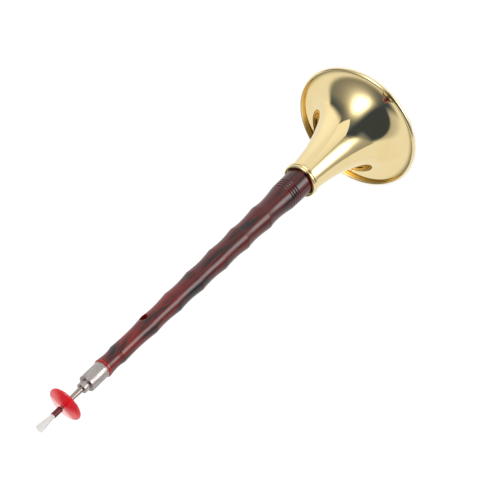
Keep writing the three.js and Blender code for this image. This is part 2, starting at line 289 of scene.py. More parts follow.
@dataclass(frozen=True)
class Finish:
    """What every finish has: name, plain colour, values for the shader's sockets, and depth of relief in mm."""

    name: str
    colour: str
    roughness: float
    metallic: float = 0.0
    depth: float = 0.01
    values: tuple[tuple[str, object], ...] = ()

    def paint(self, ground: Ground) -> dict[str, Socket]:
        """The finish's patterns.

        Args:
            ground: where it paints.

        Returns:
            The patterns by the shader's input that each feeds, and as Height the one that gives the relief.
        """
        raise NotImplementedError(self.name)

    @cache
    def make(self) -> bpy.types.Material:
        """The material, made once and then shared by the pieces that have this finish.

        Returns:
            The material.
        """
        material = bpy.data.materials.new(self.name)
        ground = Ground.on(material)
        plain = {"Base Color": self.colour, "Roughness": self.roughness, "Metallic": self.metallic}
        surface = ground.add("BsdfPrincipled", **plain, **dict(self.values))
        ground.add("OutputMaterial", surface)
        patterns = self.paint(ground)
        patterns["Normal"] = ground.add("Bump", Height=patterns.pop("Height"), Distance=self.depth * METRES)
        for name, pattern in patterns.items():
            ground.tree.links.new(pattern, surface.node.inputs[name])
        LOG.info("%s: %d nodes", material.name, len(ground.tree.nodes))
        return material

    def dress(self, piece: Piece) -> None:
        """Gives a piece this finish alone."""
        piece.data.materials.clear()
        piece.data.materials.append(self.make())


@dataclass(frozen=True)
class SpunBrass(Finish):
    """Brass sheet spun to shape, buffed to a mirror and lacquered: sharp reflections, faint rings and haze."""

    tarnish: str = "#e9cd88"
    rings_per_mm: float = 0.65
    polish: tuple[float, float] = (0.015, 0.035)
    haze: float = 0.02
    depth: float = 0.0015

    def paint(self, ground: Ground) -> dict[str, Socket]:
        """Rings 1.5 mm apart stand for spinning marks that are finer than the picture shows.

        Args:
            ground: where it paints.

        Returns:
            The patterns by what each feeds.
        """
        flat = ground.add("VectorMath", ground.place, (1, 1, 0), operation="MULTIPLY")
        radius = ground.add("VectorMath", flat, operation="LENGTH")
        spot = ground.add("CombineXYZ", X=radius, Z=ground.z)
        rings = ground.add("TexNoise", spot, Scale=self.rings_per_mm, Detail=4.0)
        haze = ground.grain(ground.place, 0.05, 0.05, Detail=3.0)
        buffed = ground.add("MapRange", rings, 0.3, 0.7, *self.polish, **SMOOTH)
        cloudy = ground.add("MapRange", haze, 0.4, 0.7, 0.0, self.haze, **SMOOTH)
        return {
            "Base Color": ground.stain(self.colour, self.tarnish, haze, low=0.45, high=0.75, most=0.35),
            "Roughness": ground.add("Math", buffed, cloudy, operation="ADD"),
            "Height": rings,
        }


@dataclass(frozen=True)
class DrawnMetal(Finish):
    """Tube or wire pulled through a die: satin, with streaks along its length and small dull spots."""

    shade: str = "#8d8a86"
    streaks_per_mm: float = 1.2
    streak_share: float = 0.55
    spot_share: float = 0.35
    spot_gloss: tuple[float, float] = (-0.06, 0.1)
    depth: float = 0.006

    def paint(self, ground: Ground) -> dict[str, Socket]:
        """Streaks under a millimetre wide and 30 mm long in tone and height, and dull spots 2 mm across.

        Args:
            ground: where it paints.

        Returns:
            The patterns by what each feeds.
        """
        streaks = ground.grain(ground.place, self.streaks_per_mm, 0.03, Detail=5.0, Roughness=0.65)
        spots = ground.grain(ground.place, 0.45, 0.3, Detail=3.0)
        dark = ground.add("MapRange", streaks, 0.38, 0.68, 0.0, self.streak_share, **SMOOTH)
        dull = ground.add("MapRange", spots, 0.5, 0.75, 0.0, self.spot_share, **SMOOTH)
        share = ground.add("Math", dark, dull, operation="ADD")
        smooth, rough = (self.roughness + change for change in self.spot_gloss)
        return {
            "Base Color": ground.add("Mix", share, self.colour, self.shade, data_type="RGBA"),
            "Roughness": ground.add("MapRange", spots, 0.35, 0.7, smooth, rough, **SMOOTH),
            "Height": streaks,
        }


@dataclass(frozen=True)
class Rosewood(Finish):
    """Hardwood stained and lacquered as rosewood: dark red-brown with smoky black streaks under deep gloss."""

    red: str = "#84170f"
    smoke: str = "#17110f"
    pore: str = "#3a0c0a"
    bright: str = "#a81a12"
    flange_top: float = 329.7
    flange_fade: tuple[float, float] = (2.6, 1.4)
    sway: float = 22.0
    pore_share: float = 0.4
    lacquer: tuple[float, float] = (0.3, 0.42)
    depth: float = 0.006

    def paint(self, ground: Ground) -> dict[str, Socket]:
        """Smoky streaks 6 mm wide and 40 mm long sway along the grain, over dark pores 0.6 mm wide.

        Args:
            ground: where it paints.

        Returns:
            The patterns by what each feeds.
        """
        drift = ground.grain(ground.place, 0.03, 0.012, Detail=1.0)
        centred = ground.add("Math", drift, 0.5, operation="SUBTRACT")
        aside = ground.add("Math", centred, self.sway, operation="MULTIPLY")
        x = ground.add("Math", ground.x, aside, operation="ADD")
        y = ground.add("Math", ground.y, aside, operation="SUBTRACT")
        swayed = ground.add("CombineXYZ", x, y, ground.z)
        streaks = ground.grain(swayed, 0.17, 0.024, Detail=5.0, Roughness=0.6, Distortion=0.4)
        pores = ground.grain(ground.place, 1.6, 0.05, Detail=3.0)
        wood = ground.stain(self.colour, self.red, ground.z, low=90, high=330)
        wood = ground.stain(wood, self.pore, pores, low=0.35, high=0.75, most=self.pore_share)
        wood = ground.stain(wood, self.smoke, streaks, low=0.43, high=0.62)
        fade = (self.flange_top - drop for drop in self.flange_fade)
        flange = ground.add("MapRange", ground.z, *fade, **SMOOTH)
        clear = ground.add("MapRange", streaks, 0.52, 0.66, 1.0, 0.25, **SMOOTH)
        share = ground.add("Math", flange, clear, operation="MULTIPLY")
        return {
            "Base Color": ground.add("Mix", share, wood, self.bright, data_type="RGBA"),
            "Roughness": ground.add("MapRange", pores, 0.3, 0.7, *self.lacquer, **SMOOTH),
            "Height": pores,
        }


@dataclass(frozen=True)
class GlossPlastic(Finish):
    """Plastic with a skin off a polished mould or from heat: clean gloss with a faint waviness."""

    deep: str = "#b00c16"

    def paint(self, ground: Ground) -> dict[str, Socket]:
        """Ripples 3 mm across in the gloss, and a slow drift of the colour's depth."""
        waves = ground.grain(ground.place, 0.35, 0.35, Detail=2.0)
        return {
            "Base Color": ground.stain(self.colour, self.deep, waves, low=0.4, high=0.7, most=0.35),
            "Height": waves,
        }


@dataclass(frozen=True)
class ReedPlastic(Finish):
    """Cane-like plastic, extruded and scraped: off-white, lets light through, with fine ribs along the blade."""

    rib: str = "#e4dfda"
    depth: float = 0.008

    def paint(self, ground: Ground) -> dict[str, Socket]:
        """Raised ribs 0.45 mm apart along the blade, a little greyer than the rest."""
        ribs = ground.grain(ground.place, 2.2, 0.05, Detail=3.0)
        return {
            "Base Color": ground.stain(self.colour, self.rib, ribs, low=0.35, high=0.7),
            "Height": ribs,
        }


@dataclass(frozen=True)
class Cork(Finish):
    """Sheet cork, sanded round: dry tan grain with brown specks and small pits."""

    speck: str = "#6d4526"
    cells_per_mm: float = 1.25
    depth: float = 0.08

    def paint(self, ground: Ground) -> dict[str, Socket]:
        """Cells 0.8 mm across in height, and specks about 1 mm across in tone.

        Args:
            ground: where it paints.

        Returns:
            The patterns by what each feeds.
        """
        cells = ground.add("TexVoronoi", ground.place, Scale=self.cells_per_mm)
        specks = ground.grain(ground.place, 1.1, 1.1, Detail=4.0)
        return {
            "Base Color": ground.stain(self.colour, self.speck, specks, low=0.52, high=0.68),
            "Height": cells,
        }


def coated(ior: float, coat_roughness: float, coat_ior: float) -> tuple[tuple[str, object], ...]:
    """Shader values of a base without gloss of its own under a clear coat."""
    coat = ("Coat Weight", 1.0), ("Coat Roughness", coat_roughness), ("Coat IOR", coat_ior)
    return ("IOR", ior), ("Specular IOR Level", 0.0), *coat


LETS_LIGHT_IN = ("Subsurface Weight", 0.2), ("Subsurface Scale", 0.001), ("Subsurface Radius", (1.0, 0.85, 0.75))

BELL_BRASS = SpunBrass("lacquered_brass", "#f1dca6", 0.05, 1.0)
TUBE_BRASS = DrawnMetal("drawn_brass", "#e2c682", 0.28, 1.0, shade="#b08c4c")
SATIN_ALUMINIUM = DrawnMetal("turned_satin_aluminium", "#b8b0ac", 0.36, 1.0, shade="#8b8480")
NICKEL_PLATE = DrawnMetal("nickel_plate", "#9f928a", 0.3, 1.0, 0.003, shade="#7c6f67", streaks_per_mm=0.9)
ROSEWOOD = Rosewood("lacquered_rosewood", "#5a0f0c", 0.35, values=coated(1.5, 0.06, 1.5))
RED_ACRYLIC = GlossPlastic("moulded_red_acrylic", "#e30f1c", 0.3, values=coated(1.49, 0.16, 1.8))
MAROON_TUBE = GlossPlastic("shrunk_maroon_tube", "#6c1813", 0.16, values=(("IOR", 1.4),), deep="#45100d")
REED_PLASTIC = ReedPlastic("translucent_reed_plastic", "#f6f2ee", 0.35, values=(("IOR", 1.5), *LETS_LIGHT_IN))
CORK_SHEET = Cork("sanded_cork", "#b98a5a", 0.9)


# ---------------------------------------------------------------- pieces


@dataclass
class Bell:
    """The loose bell: spun sheet that curls up and inwards at its rim, and a collar of two beads."""

    rim_radius: float = 57.47
    length: float = 85.8
    sheet: float = 0.6
    throat_radius: float = 13.6
    throat_end: tuple[float, float] = (22.3, 34.5)
    bulge_shares: tuple[float, float] = (0.279, 0.647)
    handle_share: float = 0.569
    reach_shares: tuple[float, float] = (0.452, 0.942)
    curl_radius: float = 1.65
    curl_lip_angle: float = math.radians(98)
    lip_sheet: float = 0.32
    rim_flat_depth: float = 0.07
    collar_length: float = 5.5
    collar_overhang: float = 1.4
    collar_lip: float = 0.4
    collar_wall: float = 0.55
    collar_bead: float = 0.85
    collar_edge: float = 0.15
    press_gap: float = 0.05
    throat_steps: int = 48
    flare_steps: int = 64
    curl_steps: int = 40
    bead_steps: int = 16
    segments: int = 192
    sharp: float = 50.0

    def surface(self, offset: float) -> np.ndarray:
        """The sheet's outer face moved out by an offset: a slow throat curve, then the flare curve.

        Args:
            offset: distance outwards, in millimetres.

        Returns:
            (radius, height) from the throat's top down to the rim.
        """
        end = np.array([self.rim_radius - self.curl_radius, self.sheet - self.rim_flat_depth])
        top, middle = np.array([self.throat_radius, self.length]), np.array(self.throat_end)
        bulge = lerp(top, middle, np.array(self.bulge_shares))
        handle_height = lerp(middle[1], end[1], self.handle_share)
        handle = lerp(bulge, middle, (handle_height - bulge[1]) / (middle[1] - bulge[1]))
        reach = lerp(middle, end, np.array(self.reach_shares))
        throat = moved_aside(*bezier(np.array([top, bulge, middle]), self.throat_steps), offset)
        flare = moved_aside(*bezier(np.array([middle, handle, reach, end]), self.flare_steps), offset)
        return np.vstack([throat, flare[1:]])

    def curl(self) -> np.ndarray:
        """The rim: round the hollow to the lip, thinning evenly as spun sheet does, over it and down to a flat.

        Returns:
            The outline, one row of (radius, height) a point.
        """
        centre = np.array([self.rim_radius - self.curl_radius, self.curl_radius - self.rim_flat_depth])
        angle, steps = self.curl_lip_angle, self.curl_steps
        turn = np.linspace(-math.pi / 2, angle, steps + 1)[:, None]
        hollow = self.curl_radius - np.linspace(self.sheet, self.lip_sheet, steps + 1)[:, None]
        inner = centre + hollow * np.hstack([np.cos(turn), np.sin(turn)])
        half = self.lip_sheet / 2
        lip = centre + (self.curl_radius - half) * np.array([math.cos(angle), math.sin(angle)])
        cap = arc(lip, half, angle + math.pi, angle, steps // 4)[1:-1]
        outer = arc(centre, self.curl_radius, angle, -math.asin(centre[1] / self.curl_radius), steps + 4)
        return np.vstack([inner, cap, outer, [[centre[0], 0.0]]])

    def build(self) -> Piece:
        """The bell's sheet, closed along both faces and round the curl.

        Returns:
            The piece, in place.
        """
        inside = self.surface(-self.sheet)[::-1]
        outline = np.vstack([self.surface(0), self.curl()[1:], inside[inside[:, 1] > 0]])[::-1]
        return lathe("bell_sheet", outline, self.segments, self.sharp)

    def build_collar(self) -> Piece:
        """Two beads outside: wall plus bead times the root of one less (distance / half-length) squared.

        Returns:
            The piece, in place.
        """
        top = self.length + self.collar_overhang
        foot = top - self.collar_length
        inner = self.surface(self.press_gap)
        under = inner[inner[:, 1] > foot]
        foot_radius = float(np.interp(-foot, -inner[:, 1], inner[:, 0]))
        wall, mouth = foot_radius + self.collar_wall, self.throat_radius - self.collar_lip
        inset, half, shelf = self.collar_edge, self.collar_length / 4, self.length + self.press_gap
        share = np.linspace(-1, 1, self.bead_steps + 1)
        swell = wall - inset + (self.collar_bead + inset) * np.sqrt(1 - share**2)
        low = np.stack([swell, foot + half + half * share], 1)
        high = np.stack([swell, foot + 3 * half + half * share], 1)
        lid = eased([(wall - inset, top, 0), (mouth, top, inset), (mouth, shelf, 0), (wall, self.length, 0)])[1:-1]
        outline = np.vstack([[[foot_radius, foot]], low, high[1:], lid, under])
        return lathe("bell_collar_beads", outline, self.segments, self.sharp)

    def dress(self) -> None:
        """Builds the bell's pieces and gives them lacquered brass."""
        settle(self.build(), BELL_BRASS, Body.BELL, "bell")
        settle(self.build_collar(), BELL_BRASS, Body.BELL, "bell_collar")


@dataclass
class Hole:
    """A hole bored from one side to the bore, at a height over the pipe's foot and a turn in radians."""

    height: float
    turn: float
    radius: float = 3.3
    edge: float = 0.35


@dataclass
class Pipe:
    """The wooden pipe, turned with ridges like bamboo, its metal socket and the socket's lining."""

    foot: float = 67.0
    length: float = 262.7
    seat_top: float = 9.0
    neck_height: float = 21.7
    neck_radius: float = 12.15
    top_radius: float = 7.43
    bore_foot: float = 9.1
    bore_top: float = 3.0
    foot_edge: float = 0.5
    bore_edge: float = 0.4
    bore_flare: float = 0.3
    crown_edge: float = 0.3
    seat_press: float = 0.06
    ridge_share: float = 0.968
    waist_share: float = 0.877
    ridges: tuple[float, ...] = (0.2796, 0.3893, 0.495, 0.6024, 0.7018, 0.8046, 0.9378)
    waists: tuple[float, ...] = (0.2387, 0.3475, 0.4427, 0.5536, 0.6572, 0.7638, 0.8788, 0.963)
    thumb_share: float = 0.81
    flange_land: float = 1.5
    groove_count: int = 4
    groove_pitch: float = 2.75
    groove_depth: float = 0.4
    groove_width: float = 1.15
    groove_rise: float = 13.7
    tenon_radius: float = 5.85
    tenon_bore: float = 4.75
    tenon_length: float = 15.6
    lining_foot: float = 259.2
    ridge_softness: float = 0.07
    ridge_rows: tuple[float, ...] = (-0.4, -0.15, -0.06, 0.0, 0.06, 0.15, 0.4)
    groove_rows: int = 8
    wave_step: float = 0.05
    wave_reach: int = 20
    outer_step: float = 0.65
    bore_step: float = 3.0
    segments: int = 96
    patch_columns: int = 20
    patch_rows: int = 12
    patch_height: float = 5.5
    edge_steps: int = 4
    wall_steps: int = 3
    socket_foot: float = 329.8
    socket_radius: float = 6.53
    socket_lip: float = 6.73
    socket_bore: float = 5.9
    socket_mouth: float = 4.2
    socket_length: float = 16.7
    socket_lip_height: float = 0.7
    socket_slope_top: float = 1.1
    socket_edge: float = 0.15
    holes: list[Hole] = field(init=False)
    grooves: np.ndarray = field(init=False)

    def __post_init__(self) -> None:
        """A hole in front in each waist but the last, one behind for the thumb, and the grooves' heights."""
        front = [Hole(share * self.length, -math.pi / 2) for share in self.waists[:-1]]
        self.holes = [*front, Hole(self.thumb_share * self.length, math.pi / 2)]
        self.grooves = self.neck_height + self.groove_rise + np.arange(self.groove_count) * self.groove_pitch
        self.ridged_foot = self.grooves[-1] + self.groove_width / 2

    def cone(self, height: np.ndarray) -> np.ndarray:
        """The plain cone that the ridges and waists stand on: a straight run from neck to top."""
        share = (height - self.neck_height) / (self.length - self.neck_height)
        return lerp(self.neck_radius, self.top_radius, share)

    def bore(self, height: np.ndarray) -> np.ndarray:
        """The bore's radius: a straight run from foot to top."""
        return lerp(self.bore_foot, self.bore_top, height / self.length)

    def wavy(self, height: np.ndarray) -> np.ndarray:
        """Radius of the ridged part.

        From a ridge the radius falls to the waist by the sine of a quarter turn, so it is steep at the
        ridge and level at the waist. A short moving average, a bell curve, then rounds the ridges.

        Args:
            height: heights over the pipe's foot.

        Returns:
            The radius at each height.
        """
        start = self.ridged_foot
        ridges = np.array([start, *(np.array(self.ridges) * self.length), self.length - self.flange_land])
        waists = np.array(self.waists) * self.length
        tops = self.cone(ridges) * np.r_[1.0, np.full(len(self.ridges), self.ridge_share), 1.0]
        tops[-1] = self.top_radius
        lows = self.cone(waists) * self.waist_share
        fine = np.arange(start, self.length, self.wave_step)
        ridge = np.searchsorted(waists, fine)
        below, above = np.maximum(ridge - 1, 0), np.minimum(ridge, len(waists) - 1)
        waist = np.where(fine < ridges[ridge], below, above)
        share = (fine - ridges[ridge]) / (waists[waist] - ridges[ridge])
        radius = lerp(tops[ridge], lows[waist], np.sin(np.clip(share, 0, 1) * np.pi / 2))
        reach = self.wave_reach
        spread = np.arange(-reach, reach + 1) * self.wave_step
        weight = np.exp(-0.5 * (spread / self.ridge_softness) ** 2)
        padded = np.pad(radius, reach, mode="edge")
        smooth = np.convolve(padded, weight / weight.sum(), mode="valid")
        return np.interp(height, fine, smooth)

    def outside(self, height: np.ndarray) -> np.ndarray:
        """The pipe's outer radius: the seat in the bell's throat, the neck, the grooves and the ridges.

        Args:
            height: heights over the pipe's foot.

        Returns:
            The radius at each height.
        """
        bell = Bell()
        inner = bell.surface(-bell.sheet - self.seat_press)
        seat = np.interp(-(height + self.foot), -inner[:, 1], inner[:, 0])
        seat_end = float(np.interp(-(self.seat_top + self.foot), -inner[:, 1], inner[:, 0]))
        shoulder = lerp(seat_end, self.neck_radius, (height - self.seat_top) / (self.neck_height - self.seat_top))
        away = np.abs(height[:, None] - self.grooves).min(1) / (self.groove_width / 2)
        grooves = self.groove_depth * np.cos(np.clip(away, 0, 1) * np.pi / 2) ** 2
        parts = [height < self.seat_top, height < self.neck_height, height < self.ridged_foot]
        return np.select(parts, [seat, shoulder, self.cone(height) - grooves], self.wavy(height))

    def heights(self, first: float, last: float, step: float, marks: list[float]) -> np.ndarray:
        """Rows from first to last: each hole's own even rows, the marks, and rows of about one step between.

        Args:
            first: the lowest row.
            last: the highest row.
            step: about how far apart the plain rows are.
            marks: heights that get a row, unless a hole's rows are there.

        Returns:
            The rows' heights, rising.
        """
        pitch = self.patch_height / self.patch_rows
        own = [hole.height + np.arange(-self.patch_rows, self.patch_rows + 1) * pitch for hole in self.holes]
        taken = sorted([(rows[0], rows[-1]) for rows in own])
        margin = self.wave_step
        free = [mark for mark in marks if not any(low - margin < mark < high + margin for low, high in taken)]
        stops = np.unique(np.round(np.r_[first, last, free, np.ravel(taken)], 6))
        runs = []
        for a, b in zip(stops[:-1], stops[1:]):
            inside = any(low - TINY <= a and b <= high + TINY for low, high in taken)
            count = 2 * self.patch_rows if inside else max(1, round((b - a) / step))
            runs.append(np.linspace(a, b, count + 1)[:-1])
        return np.r_[np.concatenate(runs), last]

    def pierce(self, points: np.ndarray, kept: np.ndarray, rows: np.ndarray, hole: Hole, bore: bool) -> np.ndarray:
        """Opens a round hole in a square patch of the grid.

        The patch's middle square becomes the hole: the points on the square of half the patch's size
        move to the circle by the equal-angle map of a square to a disc, and the points between it and
        the patch's edge slide evenly between the two. Cells inside the circle are dropped.

        Args:
            points: the grid of the whole pipe, changed in place.
            kept: which cells stay, changed in place.
            rows: the patch's rows of the grid, from the lowest height to the highest.
            hole: the hole.
            bore: True for the bore's side, False for the outside.

        Returns:
            The points' numbers round the circle, counterclockwise as seen from outside.
        """
        m, n = self.patch_columns, self.patch_rows
        step = 2 * math.pi / self.segments
        centre = round(hole.turn / step)
        columns = (centre + np.arange(-m, m + 1)) % self.segments
        u, v = np.meshgrid(np.arange(-m, m + 1) / m, np.arange(-n, n + 1) / n)
        size = np.maximum(np.abs(u), np.abs(v))
        safe = np.where(size > 0, size, 1)
        side = np.abs(u) >= np.abs(v)
        beside = np.pi / 4 * v / np.where(side & (u != 0), u, 1) + np.where(u < 0, np.pi, 0)
        above = np.pi / 2 - np.pi / 4 * u / np.where(v != 0, v, 1) + np.where(v < 0, np.pi, 0)
        angle = np.where(side, beside, above)
        reach = hole.radius + (0 if bore else hole.edge)
        radius_at = self.bore if bore else self.outside
        ring_z = hole.height + reach * np.sin(angle)
        ring_r = radius_at(ring_z.ravel()).reshape(ring_z.shape)
        ring_turn = np.arcsin(np.clip(reach * np.cos(angle) / ring_r, -1, 1))
        edge_turn, edge_z = u / safe * m * step, hole.height + v / safe * self.patch_height
        share = np.clip((size - 0.5) / 0.5, 0, 1)
        z = lerp(ring_z, edge_z, share)
        turn = hole.turn + lerp(ring_turn, edge_turn, share)
        r = radius_at(z.ravel()).reshape(z.shape)
        moved = np.stack([r * np.cos(turn), r * np.sin(turn), z + self.foot], -1)
        patch = np.ix_(rows, columns)
        points[patch] = np.where(size[..., None] >= 0.5 - TINY, moved, points[patch])
        a, b = m // 2, n // 2
        low_rows = np.minimum(rows[:-1], rows[1:])
        kept[np.ix_(low_rows[b : b + n], columns[a : a + m])] = False
        numbers = (rows[:, None] * self.segments + columns)[n - b : n + b + 1, m - a : m + a + 1]
        return np.r_[numbers[:-1, -1], numbers[-1, :0:-1], numbers[:0:-1, 0], numbers[0, :-1]]

    def wall(
        self, points: np.ndarray, outer: np.ndarray, inner: np.ndarray, hole: Hole, first: int
    ) -> tuple[np.ndarray, np.ndarray]:
        """The hole's rounded edge and straight wall.

        Rings run from the outer circle to the bore's: over the edge the circle's radius shrinks by the
        edge times one less the sine, and the depth grows by the edge times one less the cosine.

        Args:
            points: all the pipe's grid points, as rows.
            outer: numbers of the outer circle's points.
            inner: numbers of the bore circle's points.
            hole: the hole.
            first: the number that the first new point gets.

        Returns:
            The new points and the quads that join the rings.
        """
        out = np.array([math.cos(hole.turn), math.sin(hole.turn), 0])
        base, bottom = points[outer], points[inner]
        middle = np.array([0, 0, hole.height + self.foot])
        radial = base - middle
        depth = radial @ out
        flat = radial - depth[:, None] * out
        flat /= np.linalg.norm(flat, axis=1)[:, None]
        t = np.linspace(0, np.pi / 2, self.edge_steps + 1)[1:, None, None]
        size = hole.radius + hole.edge * (1 - np.sin(t))
        edge = middle + flat * size + out * (depth[:, None] - hole.edge * (1 - np.cos(t)))
        sink = np.linspace(0, 1, self.wall_steps + 1)[1:-1, None, None]
        wall = lerp(edge[-1], bottom, sink)
        rings = np.concatenate([edge, wall])
        count = len(outer)
        numbers = np.vstack([outer, first + np.arange(len(rings) * count).reshape(-1, count), inner])
        a, b = numbers[:-1], numbers[1:]
        quads = np.stack([a, np.roll(a, -1, 1), np.roll(b, -1, 1), b], -1).reshape(-1, 4)
        return rings.reshape(-1, 3), quads

    def build(self) -> Piece:
        """The wood: one closed grid, up the outside, over the tenon and down the bore, with its holes.

        Returns:
            The piece, in place.
        """
        across = np.linspace(-1, 1, self.groove_rows + 1) * self.groove_width / 2
        marks = [self.seat_top, self.neck_height, *np.add.outer(self.grooves, across).ravel()]
        marks += [share * self.length + away for share in self.ridges for away in self.ridge_rows]
        up = self.heights(self.foot_edge, self.length - self.crown_edge, self.outer_step, marks)
        down = self.heights(self.bore_edge, self.lining_foot, self.bore_step, [])[::-1]
        outside = np.stack([self.outside(up), up], 1)
        r, edge, top, end = self.top_radius, self.crown_edge, self.length, self.length + self.tenon_length
        tenon, bore = self.tenon_radius, self.tenon_bore
        crown = [
            [r - 0.3 * edge, top - 0.3 * edge], [r - edge, top], [tenon, top],
            [tenon, end], [bore, end], [bore, self.lining_foot],
        ]
        inside = np.stack([self.bore(down), down], 1)
        foot = [[self.bore_foot + self.bore_flare, 0.0], [outside[0, 0] - self.foot_edge, 0.0]]
        outline = np.vstack([outside, crown, inside, foot])
        points = turned(outline + [0, self.foot], self.segments)
        kept = np.ones(points.shape[:2], bool)
        reach = np.arange(-self.patch_rows, self.patch_rows + 1)
        places, walls = [points.reshape(-1, 3)], []
        for hole in self.holes:
            rows_out = int(np.argmin(np.abs(up - hole.height))) + reach
            rows_in = len(outside) + len(crown) + int(np.argmin(np.abs(down - hole.height))) - reach
            outer = self.pierce(points, kept, rows_out, hole, bore=False)
            inner = self.pierce(points, kept, rows_in, hole, bore=True)
            more, quads = self.wall(places[0], outer, inner, hole, sum(map(len, places)))
            places.append(more)
            walls.append(quads)
        faces = np.vstack([grid_faces(*points.shape[:2], kept), *walls])
        return make_piece("pipe_wood", np.vstack(places), faces)

    def build_socket(self) -> Piece:
        """The socket: a drawn tube with a raised lip at its foot and a flat end, all edges eased.

        Returns:
            The piece, in place.
        """
        z, end, edge = self.socket_foot, self.socket_foot + self.socket_length, self.socket_edge
        shelf, bore, mouth = z + self.tenon_length, self.socket_bore, self.socket_mouth
        outline = eased(
            [
                (bore, z, 0.1), (self.socket_lip, z, edge), (self.socket_lip, z + self.socket_lip_height, edge),
                (self.socket_radius, z + self.socket_slope_top, edge), (self.socket_radius, end, 0.4),
                (mouth, end, 0.2), (mouth, shelf, 0), (bore, shelf, 0),
            ]
        )
        return lathe("socket_tube", outline, self.segments)

    def dress(self) -> None:
        """Builds the pipe's pieces and gives them rosewood and satin aluminium; the lining keeps its CAD shape."""
        TUBE_BRASS.dress(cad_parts["socket_lining"])
        settle(self.build(), ROSEWOOD, Body.PIPE, "pipe")
        settle(self.build_socket(), SATIN_ALUMINIUM, Body.PIPE, "socket_cap")


@dataclass
class Core:
    """The sliding core: a satin barrel with a cork ring, and the conical staple soldered in it."""

    barrel_foot: float = 330.9
    barrel_length: float = 20.7
    barrel_radius: float = 4.12
    barrel_edge: float = 0.3
    cork_foot: float = 333.58
    cork_length: float = 7.2
    cork_depth: float = 0.6
    staple_foot: float = 331.7
    staple_foot_radius: float = 2.95
    seat_height: float = 34.4
    seat_radius: float = 1.72
    seat_length: float = 4.5
    neck_radius: float = 1.35
    tip_radius: float = 1.24
    staple_length: float = 47.3
    staple_wall: float = 0.33
    gap: float = 0.05
    foot_ease: float = 0.15
    tip_ease: float = 0.12
    barrel_segments: int = 72
    staple_segments: int = 64

    def staple_radius(self, height: np.ndarray) -> np.ndarray:
        """The staple's outer radius above its foot: straight runs between foot, seat, neck and tip.

        Args:
            height: heights above the foot.

        Returns:
            The radius at each height.
        """
        places = [0, self.seat_height, self.seat_height + self.seat_length, self.staple_length]
        radii = [self.staple_foot_radius, self.seat_radius, self.neck_radius, self.tip_radius]
        return np.interp(height, places, radii)

    def build_barrel(self) -> Piece:
        """The barrel: a turned tube with a groove for the cork and a bore that follows the staple's cone.

        Returns:
            The piece, in place.
        """
        z, r, edge = self.barrel_foot, self.barrel_radius, self.barrel_edge
        top = z + self.barrel_length
        low_bore, high_bore = self.staple_radius(np.array([z, top]) - self.staple_foot) + self.gap
        groove, cork_top = r - self.cork_depth, self.cork_foot + self.cork_length
        outline = eased(
            [
                (low_bore, z, 0.1), (r, z, edge), (r, self.cork_foot, 0.05), (groove, self.cork_foot, 0),
                (groove, cork_top, 0), (r, cork_top, 0.05), (r, top, edge), (high_bore, top, 0.15),
            ]
        )
        return lathe("core_barrel_tube", outline, self.barrel_segments)

    def build_staple(self) -> Piece:
        """The staple: a rolled metal cone with an even wall and round ends.

        Returns:
            The piece, in place.
        """
        cone = np.linspace(self.foot_ease, self.seat_height, 30)
        heights = np.r_[cone, np.linspace(self.seat_height + 0.3, self.staple_length - self.tip_ease, 20)]
        outside = np.stack([self.staple_radius(heights), heights], 1)
        inside = outside[::-1] - [self.staple_wall, 0]
        tip, foot = self.tip_radius - self.staple_wall / 2, self.staple_foot_radius - self.staple_wall / 2
        outline = np.vstack([[[foot, 0]], outside, [[tip, self.staple_length]], inside])
        return lathe("staple_cone", outline + [0, self.staple_foot], self.staple_segments)

    def dress(self) -> None:
        """Builds the core's pieces and gives them their metals; the cork keeps its CAD shape."""
        CORK_SHEET.dress(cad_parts["core_cork"])
        settle(self.build_barrel(), SATIN_ALUMINIUM, Body.CORE, "core_barrel")
        settle(self.build_staple(), NICKEL_PLATE, Body.CORE, "staple")


@dataclass
class LipDisc:
    """The lip disc: a shallow red dome with a round edge and a small hub, moulded in one."""

    foot: float = 366.1
    radius: float = 13.7
    rim: float = 1.6
    dome: float = 1.45
    shoulder: tuple[float, float] = (0.336, 0.75)
    hub_radius: float = 1.96
    hub_tail: float = 1.2
    hub_length: float = 5.05
    hub_edge: float = 0.1
    crown_share: float = 0.97
    fillet_rise: float = 0.5
    bore_foot: float = 1.78
    bore_neck: float = 1.403
    segments: int = 160

    def build(self) -> Piece:
        """The disc: a flat underside, a half-round edge, and a dome that a Bezier curve draws in to the hub.

        Returns:
            The piece, in place.
        """
        z, plate, half, r = self.foot, self.foot + self.hub_tail + self.rim, self.rim / 2, self.hub_radius
        edge = arc(np.array([self.radius - half, plate - half]), half, -math.pi / 2, math.pi / 2, 20)
        crown, top = [r + self.dome, plate + self.dome * self.crown_share], z + self.hub_length
        shoulder = [lerp(crown[0], self.radius, self.shoulder[0]), plate + self.dome * self.shoulder[1]]
        dome, _ = bezier(np.array([[self.radius - half, plate], shoulder, crown]), 40)
        level, ease = plate + self.dome, self.hub_edge
        fillet, _ = bezier(np.array([crown, [r + ease, level], [r, level + self.fillet_rise]]), 10)
        hub = [[r, top - 1.2 * ease], [r - ease, top], [self.bore_neck, top], [self.bore_foot, z]]
        tail = [[r + self.hub_tail / 2, z], [r + self.hub_tail, z + self.hub_tail]]
        return lathe("lip_disc_moulding", np.vstack([tail, edge, dome[1:], fillet[1:], hub]), self.segments)

    def dress(self) -> None:
        """Builds the disc and gives it red acrylic."""
        settle(self.build(), RED_ACRYLIC, Body.LIP_DISC, "lip_disc")


